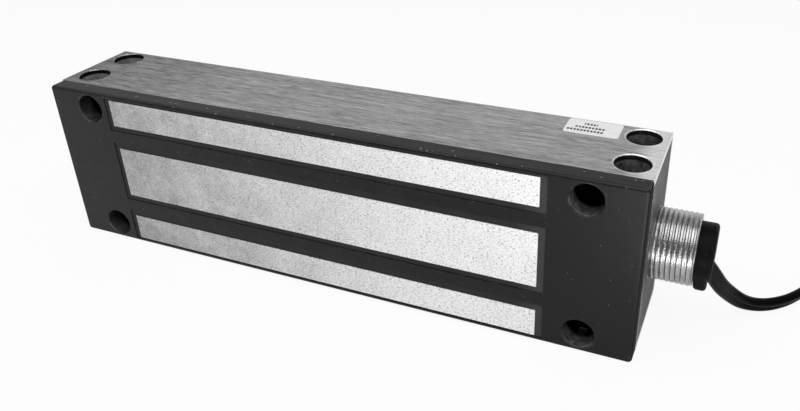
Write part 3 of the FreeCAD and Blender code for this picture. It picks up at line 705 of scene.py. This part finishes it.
nipple_end = nipple_high.x
route = [Vector((nipple_end + x * MM, y * MM, z * MM)) for x, y, z in lead_route]
coil_low, coil_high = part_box("lead_coil")
coil_outer = (coil_high.y - coil_low.y) / 2
centre = Vector((coil_high.x - coil_outer, (coil_low.y + coil_high.y) / 2, floor_height))
outer_turn = coil_outer - core_radius
angles = [
    math.pi / 2 - 2 * math.pi * i / points_per_turn for i in range(coil_turns * points_per_turn + 1)
]
for angle in angles:
    wound = (math.pi / 2 - angle) / (2 * math.pi)
    radius = outer_turn - turn_spacing * wound
    apart = (angle - tie_angle + math.pi) % (2 * math.pi) - math.pi
    lift = tie_lift * math.exp(-((apart / tie_spread) ** 2))
    route.append(centre + Vector((radius * math.cos(angle), radius * math.sin(angle), lift)))
coil_end = route[-1]
tail_heading = Vector((math.cos(tail_turn), -math.sin(tail_turn), 0.0))
for share in (0.5, 1.0):
    route.append(coil_end + tail_heading * tail_length * share)


def line_along(points):
    """Points of the smooth line that has these as its control points."""
    curve = bpy.data.curves.new("route", "CURVE")
    curve.dimensions = "3D"
    spline = curve.splines.new("NURBS")
    spline.points.add(len(points) - 1)
    for control, point in zip(spline.points, points):
        control.co = (*point, 1.0)
    spline.order_u = 3
    spline.use_endpoint_u = True
    spline.resolution_u = 10
    guide = bpy.data.objects.new("route", curve)
    mesh = bpy.data.meshes.new_from_object(guide)
    line = [vertex.co.copy() for vertex in mesh.vertices]
    bpy.data.objects.remove(guide)
    bpy.data.curves.remove(curve)
    bpy.data.meshes.remove(mesh)
    return line


def stepped(keys, at):
    """Value at a distance, eased between the keys."""
    if at <= keys[0][0]:
        return keys[0][1]
    for (start, first), (end, second) in zip(keys, keys[1:]):
        if at <= end:
            share = (at - start) / (end - start)
            share = share * share * (3 - 2 * share)
            return first + (second - first) * share
    return keys[-1][1]


def frames_along(line, turn_at):
    """Place, width direction and thickness direction at each point of a line."""
    up = Vector((0.0, 0.0, 1.0))
    frames = []
    distance = 0.0
    for i, point in enumerate(line):
        before = line[max(i - 1, 0)]
        after = line[min(i + 1, len(line) - 1)]
        heading = (after - before).normalized()
        distance += (point - before).length
        level = heading.cross(up).normalized()
        upright = level.cross(heading)
        turn = math.radians(turn_at(distance))
        width = level * math.cos(turn) + upright * math.sin(turn)
        thick = upright * math.cos(turn) - level * math.sin(turn)
        frames.append((point, width, thick))
    return frames


def twin_section():
    """Outline of the sheath: two round lobes that meet in a groove on each flat side."""
    groove = math.acos(-core_offset / core_radius) * groove_share
    outline = []
    for side in (1, -1):
        for i in range(arc_steps + 1):
            angle = -groove + 2 * groove * i / arc_steps
            across = side * (core_offset + core_radius * math.cos(angle))
            outline.append((across, side * core_radius * math.sin(angle)))
    return outline


lead_line = line_along(route)
lead_length = sum((b - a).length for a, b in zip(lead_line, lead_line[1:]))
twist_keys = [(at * MM, turn) for at, turn in lead_twist]
twist_keys.append((lead_length - 2 * tail_length, twist_keys[-1][1]))
twist_keys.append((lead_length, twist_keys[-1][1] + tail_twist))
lead_frames = frames_along(lead_line, lambda at: stepped(twist_keys, at))
section = twin_section()
points = []
for place, width, thick in lead_frames:
    points += [place + width * across + thick * through for across, through in section]
faces = ring_faces(len(lead_frames), len(section))
faces.append(tuple(range(len(section))))
faces.append(tuple(len(points) - len(section) + i for i in range(len(section))))
twin_lead = mesh_piece("twin_lead", points, faces, lead_sheath, sharp_degrees=50.0)
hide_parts("lead", "lead_coil")

# The bung's rubber closes round the flat lead: this fills the slanted hole up to its face.
face_margin = 0.3 * MM
hole_sides = 40
bung_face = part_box("cable_bung")[1].x - face_margin
hole_heading = (route[1] - route[0]).normalized()
hole_side = hole_heading.cross(Vector((0.0, 0.0, 1.0))).normalized()
hole_up = hole_side.cross(hole_heading)
points = []
for at_face in (False, True):
    for i in range(hole_sides):
        angle = 2 * math.pi * i / hole_sides
        outward = hole_side * math.cos(angle) + hole_up * math.sin(angle)
        rim_point = route[0] + outward * lead_width / 2
        if at_face:
            rim_point += hole_heading * (bung_face - rim_point.x) / hole_heading.x
        points.append(rim_point)
faces = ring_faces(2, hole_sides)
faces += [tuple(range(hole_sides)), tuple(range(hole_sides, 2 * hole_sides))]
bung_throat = mesh_piece("bung_throat", points, faces, black_rubber)


# The bared ends
# The installer's ends of the lead: a centimetre of tinned copper strands on each
# conductor, twisted with the fingers.
tinned_copper = handled_material(
    "tinned_copper", (0.5, 0.5, 0.5), (0.68, 0.67, 0.65), 1.2, 0.3, 0.02, Metallic=1.0
)
strand_radius = 0.29 * MM
strand_orbit = 0.58 * MM
strands = 6
bare_length = 9.0 * MM
bare_start = 1.0 * MM
strand_lay = 7.0 * MM
strand_steps = 22
strand_sides = 8
end_place, end_width, end_thick = lead_frames[-1]
end_heading = (lead_frames[-1][0] - lead_frames[-2][0]).normalized()
points = []
faces = []
for side in (-1, 1):
    for strand in range(strands + 1):
        first = len(points)
        orbit = 0.0 if strand == strands else strand_orbit
        for i in range(strand_steps + 1):
            along = -bare_start + (bare_length + bare_start) * i / strand_steps
            phase = 2 * math.pi * (strand / strands + along / strand_lay)
            out = end_width * math.cos(phase) + end_thick * math.sin(phase)
            middle = end_place + end_width * side * core_offset + end_heading * along + out * orbit
            for j in range(strand_sides):
                angle = 2 * math.pi * j / strand_sides
                rim_point = end_width * math.cos(angle) + end_thick * math.sin(angle)
                points.append(middle + rim_point * strand_radius)
        count = strand_steps + 1
        faces += [tuple(first + k for k in face) for face in ring_faces(count, strand_sides)]
        faces.append(tuple(first + j for j in range(strand_sides)))
        faces.append(tuple(len(points) - strand_sides + j for j in range(strand_sides)))
bared_strands = mesh_piece("bared_strands", points, faces, tinned_copper, sharp_degrees=60.0)
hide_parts("wire_ends")


# The tie
# A nylon cable tie with a toothed strap round both turns of the coil and a square head
# on the outside, its spare end cut off short.
tie_nylon = handled_material(
    "tie_nylon", (0.012, 0.012, 0.013), (0.02, 0.02, 0.02), 2.0, 0.35, 0.02
)
strap_width = 4.0 * MM
strap_thickness = 0.7 * MM
strap_play = 0.1 * MM
tooth_pitch = 1.0 * MM
tooth_height = 0.22 * MM
steps_per_tooth = 4
strap_corner = 1.9 * MM
corner_steps = 6
head_length = 5.0 * MM
head_width = 5.4 * MM
head_depth = 3.2 * MM
head_rounding = 0.6 * MM
head_sink = 0.2 * MM
spare_end = 2.2 * MM
spare_sink = 0.1 * MM
tie_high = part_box("lead_tie")[1]
inner_turn = outer_turn - turn_spacing * coil_turns
strap_middle = (outer_turn + inner_turn) / 2
half_reach = (outer_turn - inner_turn) / 2 + core_radius + strap_play
strap_low = strap_thickness
strap_high = tie_high.z - strap_thickness
out_from_centre = Vector((math.cos(tie_angle), math.sin(tie_angle), 0.0))
round_centre = Vector((-math.sin(tie_angle), math.cos(tie_angle), 0.0))
tie_middle = Vector((centre.x, centre.y, 0.0)) + out_from_centre * strap_middle


def strap_loop():
    """Points round the strap's inside as reach, height and outward angle, closely spaced."""
    rounded = []
    corners = [
        (half_reach, strap_high),
        (-half_reach, strap_high),
        (-half_reach, strap_low),
        (half_reach, strap_low),
    ]
    for quarter, (reach, height) in enumerate(corners):
        turn_x = reach - math.copysign(strap_corner, reach)
        turn_z = height - strap_corner if height == strap_high else height + strap_corner
        for i in range(corner_steps + 1):
            angle = math.pi / 2 * (quarter + i / corner_steps)
            across = turn_x + strap_corner * math.cos(angle)
            upward = turn_z + strap_corner * math.sin(angle)
            rounded.append((across, upward, angle))
    loop = []
    for i, (reach, height, angle) in enumerate(rounded):
        next_reach, next_height, _ = rounded[(i + 1) % len(rounded)]
        run = math.hypot(next_reach - reach, next_height - height)
        straight = i % (corner_steps + 1) == corner_steps
        steps = max(1, round(run / tooth_pitch * steps_per_tooth)) if straight else 1
        for j in range(steps):
            share = j / steps
            across = reach + (next_reach - reach) * share
            upward = height + (next_height - height) * share
            loop.append((across, upward, angle))
    return loop


points = []
travelled = 0.0
loop = strap_loop()
for i, (reach, height, angle) in enumerate(loop):
    if i:
        travelled += math.hypot(reach - loop[i - 1][0], height - loop[i - 1][1])
    tooth = tooth_height * ((travelled / tooth_pitch) % 1.0)
    outer = strap_thickness - tooth
    for offset, side in ((0.0, -1), (0.0, 1), (outer, 1), (outer, -1)):
        place = tie_middle + out_from_centre * (reach + math.cos(angle) * offset)
        place += round_centre * side * strap_width / 2
        points.append((place.x, place.y, height + math.sin(angle) * offset))
faces = ring_faces(len(loop), 4, closed_along=True)
tie_strap = mesh_piece("tie_strap", points, faces, tie_nylon)
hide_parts("lead_tie")

edit = bmesh.new()
bmesh.ops.create_cube(edit, size=1.0)
bmesh.ops.scale(edit, vec=(head_depth, head_width, head_length), verts=edit.verts)
bmesh.ops.bevel(
    edit, geom=edit.edges[:], offset=head_rounding, segments=3, affect="EDGES", profile=0.5
)
stub = bmesh.ops.create_cube(edit, size=1.0)["verts"]
bmesh.ops.scale(edit, vec=(strap_thickness, strap_width, spare_end), verts=stub)
stub_height = (head_length + spare_end) / 2 - spare_sink
bmesh.ops.translate(edit, vec=(0.0, 0.0, stub_height), verts=stub)
tie_head_mesh = bpy.data.meshes.new("tie_head")
edit.to_mesh(tie_head_mesh)
edit.free()
head_reach = half_reach + strap_thickness + head_depth / 2 - head_sink
head_place = tie_middle + out_from_centre * head_reach
head_place.z = (strap_low + strap_high) / 2 - spare_end / 2
tie_head_mesh.transform(Matrix.Translation(head_place) @ Matrix.Rotation(tie_angle, 4, "Z"))
tie_head_mesh.materials.append(tie_nylon)
tie_head = bpy.data.objects.new("tie_head", tie_head_mesh)
bpy.context.scene.collection.objects.link(tie_head)
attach(tie_head, "root")


# The sticker
# A small white vinyl sticker near the right end of the top. It has no words: three rows
# of small equal dashes stand for its print.
sticker_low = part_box("label")[0]
dash_pitch = 1.25 * MM
dash_share = 0.72
dash_height = 1.5 * MM
# Rows of dashes: height across the sticker, then first and last dash, in millimetres.
dash_rows = [(2.9, 1.0, 14.8), (5.6, 3.6, 14.8), (8.5, 6.4, 11.4)]
sticker_vinyl, tree, shader = new_material("white_sticker", Specular_IOR_Level=0.4)
x, y, _ = place_of(tree)
in_pitch = math_of(tree, "FRACT", math_of(tree, "DIVIDE", x, dash_pitch))
dashes = math_of(tree, "LESS_THAN", in_pitch, dash_share)
printed = 0.0
for row_height, row_start, row_end in dash_rows:
    row_line = sticker_low.y + row_height * MM
    off_row = math_of(tree, "ABSOLUTE", math_of(tree, "SUBTRACT", y, row_line))
    row_middle = sticker_low.x + (row_start + row_end) / 2 * MM
    off_middle = math_of(tree, "ABSOLUTE", math_of(tree, "SUBTRACT", x, row_middle))
    in_row = math_of(tree, "LESS_THAN", off_row, dash_height / 2)
    in_length = math_of(tree, "LESS_THAN", off_middle, (row_end - row_start) / 2 * MM)
    printed = math_of(tree, "MAXIMUM", printed, math_of(tree, "MULTIPLY", in_row, in_length))
print_mask = math_of(tree, "MULTIPLY", printed, dashes)
cloud = effect(tree, mottle, Size=2.5)
fine = effect(tree, mottle, Size=0.5)
tone = layered(tree, 0.78, (cloud, 0.06, 0.5), (fine, 0.05, 0.5), (print_mask, -0.72, 0.0))
put(tree, shader.inputs["Base Color"], tone)
put(tree, shader.inputs["Roughness"], layered(tree, 0.5, (fine, 0.1, 0.5)))
rough_relief(tree, shader, cloud, 0.3, 0.05)
dress(sticker_vinyl, "label")


# The studio
# A white floor that keeps a soft shadow, a pale sky that is brighter low behind, and three
# soft lamps: one overhead, a flat one that faces up from the floor in front of the nipple's
# end, and one at the front right.
floor_size = 8.0
floor_drop = 0.05 * MM
camera_share = 0.91
mirror_share = 0.4
floor_white, tree, shader = new_material("studio_floor", Roughness=0.8, Specular_IOR_Level=0.0)
grain = effect(tree, mottle, Size=400.0)
put(tree, shader.inputs["Base Color"], layered(tree, 0.86, (grain, 0.01, 0.5)))
rays = add(tree, "LightPath").outputs
mirrored = math_of(tree, "MAXIMUM", rays["Is Glossy Ray"], rays["Is Transmission Ray"])
seen = math_of(tree, "MULTIPLY", rays["Is Camera Ray"], camera_share)
share = math_of(tree, "MAXIMUM", math_of(tree, "MULTIPLY", mirrored, mirror_share), seen)
white = add(tree, "Emission", {"Color": (1.0, 1.0, 1.0, 1.0), "Strength": 1.0}).outputs[0]
mixed = add(tree, "MixShader", {0: share, 1: shader.outputs[0], 2: white}).outputs[0]
put(tree, tree.nodes["Material Output"].inputs["Surface"], mixed)
half_floor = floor_size / 2
corners = [(-half_floor, -half_floor), (half_floor, -half_floor)]
corners += [(half_floor, half_floor), (-half_floor, half_floor)]
floor_mesh = bpy.data.meshes.new("floor")
floor_mesh.from_pydata([(*corner, -floor_drop) for corner in corners], [], [(0, 1, 2, 3)])
floor_mesh.materials.append(floor_white)
floor = bpy.data.objects.new("floor", floor_mesh)
bpy.context.scene.collection.objects.link(floor)

world = bpy.data.worlds.new("studio")
world.use_nodes = True
bpy.context.scene.world = world
tree = world.node_tree
backdrop = tree.nodes["Background"]
put(tree, backdrop.inputs["Color"], (1.0, 1.0, 1.0, 1.0))
direction = add(tree, "SeparateXYZ", {"Vector": add(tree, "TexCoord").outputs["Generated"]}).outputs
behind = ranged(tree, direction["Y"], 0.0, 0.7)
low = ranged(tree, direction["Z"], 0.75, 0.2)
from_right = ranged(tree, direction["X"], -0.9, 0.1, 0.35, 1.0)
glow = math_of(tree, "MULTIPLY", math_of(tree, "MULTIPLY", behind, low), from_right)
in_front = ranged(tree, direction["Y"], -0.1, -0.5)
raised = ranged(tree, direction["Z"], 0.1, 0.25)
shade = math_of(tree, "MULTIPLY", in_front, raised)
put(tree, backdrop.inputs["Strength"], layered(tree, 0.38, (glow, 0.6, 0.0), (shade, -0.2, 0.0)))


def soft_lamp(name, place, aim, width, height, radiance):
    """A rectangular lamp of this brightness, as seen in a mirror where 1 is white."""
    light = bpy.data.lights.new(name, "AREA")
    light.shape = "RECTANGLE"
    light.size = width
    light.size_y = height
    light.energy = radiance * math.pi * width * height
    lamp = bpy.data.objects.new(name, light)
    lamp.location = place
    lamp.rotation_mode = "QUATERNION"
    lamp.rotation_quaternion = (Vector(aim) - Vector(place)).to_track_quat("-Z", "Y")
    bpy.context.scene.collection.objects.link(lamp)


soft_lamp(
    "overhead_lamp", place=(0.1, -0.36, 0.95), aim=(0.1, -0.359, 0.0),
    width=1.5, height=0.9, radiance=2.1,
)
soft_lamp(
    "front_lamp", place=(0.3, -0.175, 0.002), aim=(0.3, -0.174, 1.0),
    width=0.36, height=0.15, radiance=6.0,
)
soft_lamp(
    "right_lamp", place=(0.6, -0.75, 0.3), aim=(0.1, 0.0, 0.03),
    width=0.5, height=0.4, radiance=2.5,
)

camera_data = bpy.data.cameras.new("camera")
camera_data.lens = 35.464
camera_data.sensor_width = 36.0
camera_data.shift_x = -0.06588
camera_data.shift_y = -0.05049
camera_data.clip_start = 0.01
camera_data.clip_end = 20.0
camera = bpy.data.objects.new("camera", camera_data)
camera.location = (0.15317, -0.24590, 0.19802)
camera.rotation_euler = [math.radians(angle) for angle in (61.780, 1.016, 22.404)]
bpy.context.scene.collection.objects.link(camera)
bpy.context.scene.camera = camera

bpy.context.scene.view_settings.view_transform = "Standard"
